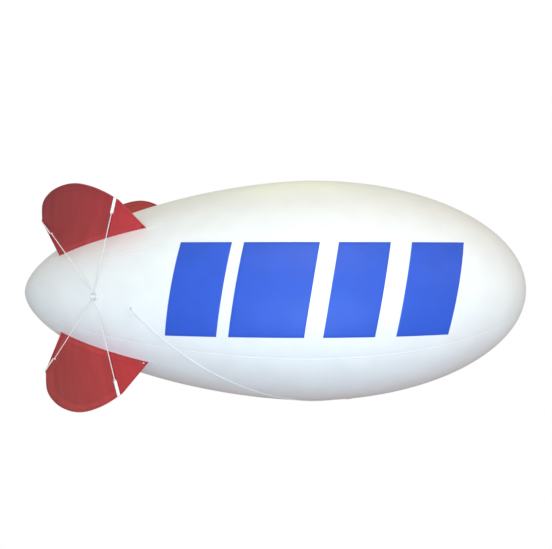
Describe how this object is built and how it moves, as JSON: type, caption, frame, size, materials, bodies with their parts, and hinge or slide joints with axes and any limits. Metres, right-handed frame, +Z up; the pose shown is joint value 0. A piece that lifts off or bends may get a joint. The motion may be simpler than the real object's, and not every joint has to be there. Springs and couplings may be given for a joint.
{
  "type": "advertising blimp balloon",
  "caption": "Helium-filled advertising blimp with a film envelope of welded gores, guyed fabric fins, a belly tether harness and a lidded filling valve.",
  "frame": {"origin": "centre of buoyancy of the envelope, on its long axis, where the air holds the balloon up", "axes": "+X to the nose, +Y to port, +Z up"},
  "size_m": [3.35, 1.45, 1.4585],
  "materials": {
    "envelope_film": "white satin blimp film, heat-sealed gores",
    "patch_film": "white film patches welded on the envelope",
    "fin_nylon": "red coated nylon",
    "fin_hem": "red coated nylon, doubled hem",
    "webbing_tape": "white woven polyester tape",
    "braided_line": "white braided line",
    "zinc_wire": "zinc-plated steel",
    "valve_plastic": "moulded off-white plastic"
  },
  "bodies": {
    "envelope": {"gore_starboard_top": "envelope_film", "gore_starboard": "envelope_film", "gore_starboard_belly": "envelope_film", "gore_port_belly": "envelope_film", "gore_port": "envelope_film", "gore_port_top": "envelope_film", "nose_cap": "envelope_film", "tail_cap": "envelope_film", "fin_panel_starboard_top": "fin_nylon", "fin_rim_starboard_top": "fin_hem", "fin_welt_starboard_top": "patch_film", "fin_strap_front_starboard_top": "webbing_tape", "fin_strap_rear_starboard_top": "webbing_tape", "stay_line_starboard_top_a": "braided_line", "stay_line_starboard_top_b": "braided_line", "fin_panel_starboard_belly": "fin_nylon", "fin_rim_starboard_belly": "fin_hem", "fin_welt_starboard_belly": "patch_film", "fin_strap_front_starboard_belly": "webbing_tape", "fin_strap_rear_starboard_belly": "webbing_tape", "stay_line_starboard_belly_a": "braided_line", "stay_line_starboard_belly_b": "braided_line", "fin_panel_port_belly": "fin_nylon", "fin_rim_port_belly": "fin_hem", "fin_welt_port_belly": "patch_film", "fin_strap_front_port_belly": "webbing_tape", "fin_strap_rear_port_belly": "webbing_tape", "stay_line_port_belly_a": "braided_line", "stay_line_port_belly_b": "braided_line", "fin_panel_port_top": "fin_nylon", "fin_rim_port_top": "fin_hem", "fin_welt_port_top": "patch_film", "fin_strap_front_port_top": "webbing_tape", "fin_strap_rear_port_top": "webbing_tape", "stay_line_port_top_a": "braided_line", "stay_line_port_top_b": "braided_line", "stay_patch_top": "patch_film", "stay_ring_top": "zinc_wire", "stay_patch_starboard": "patch_film", "stay_ring_starboard": "zinc_wire", "stay_patch_belly": "patch_film", "stay_ring_belly": "zinc_wire", "stay_patch_port": "patch_film", "stay_ring_port": "zinc_wire", "side_patch_starboard": "patch_film", "harness_line_starboard": "braided_line", "side_patch_port": "patch_film", "harness_line_port": "braided_line", "belly_patch": "patch_film", "tether_tab": "webbing_tape", "valve_patch": "patch_film", "valve_body": "valve_plastic"},
    "tether_ring": {"tether_ring": "zinc_wire"},
    "valve_lid": {"valve_lid": "valve_plastic"}
  },
  "joints": [
    {"name": "tether_ring_swing", "type": "hinge", "parent": "envelope", "child": "tether_ring", "pos_m": [0.40131, 0, -0.72748], "axis": [0, 1, 0], "range_deg": [0, 170]},
    {"name": "valve_lid_hinge", "type": "hinge", "parent": "envelope", "child": "valve_lid", "pos_m": [-1.43663, 0.09871, -0.3684], "axis": [0, 0.9659, 0.2588], "range_deg": [0, 160]}
  ]
}
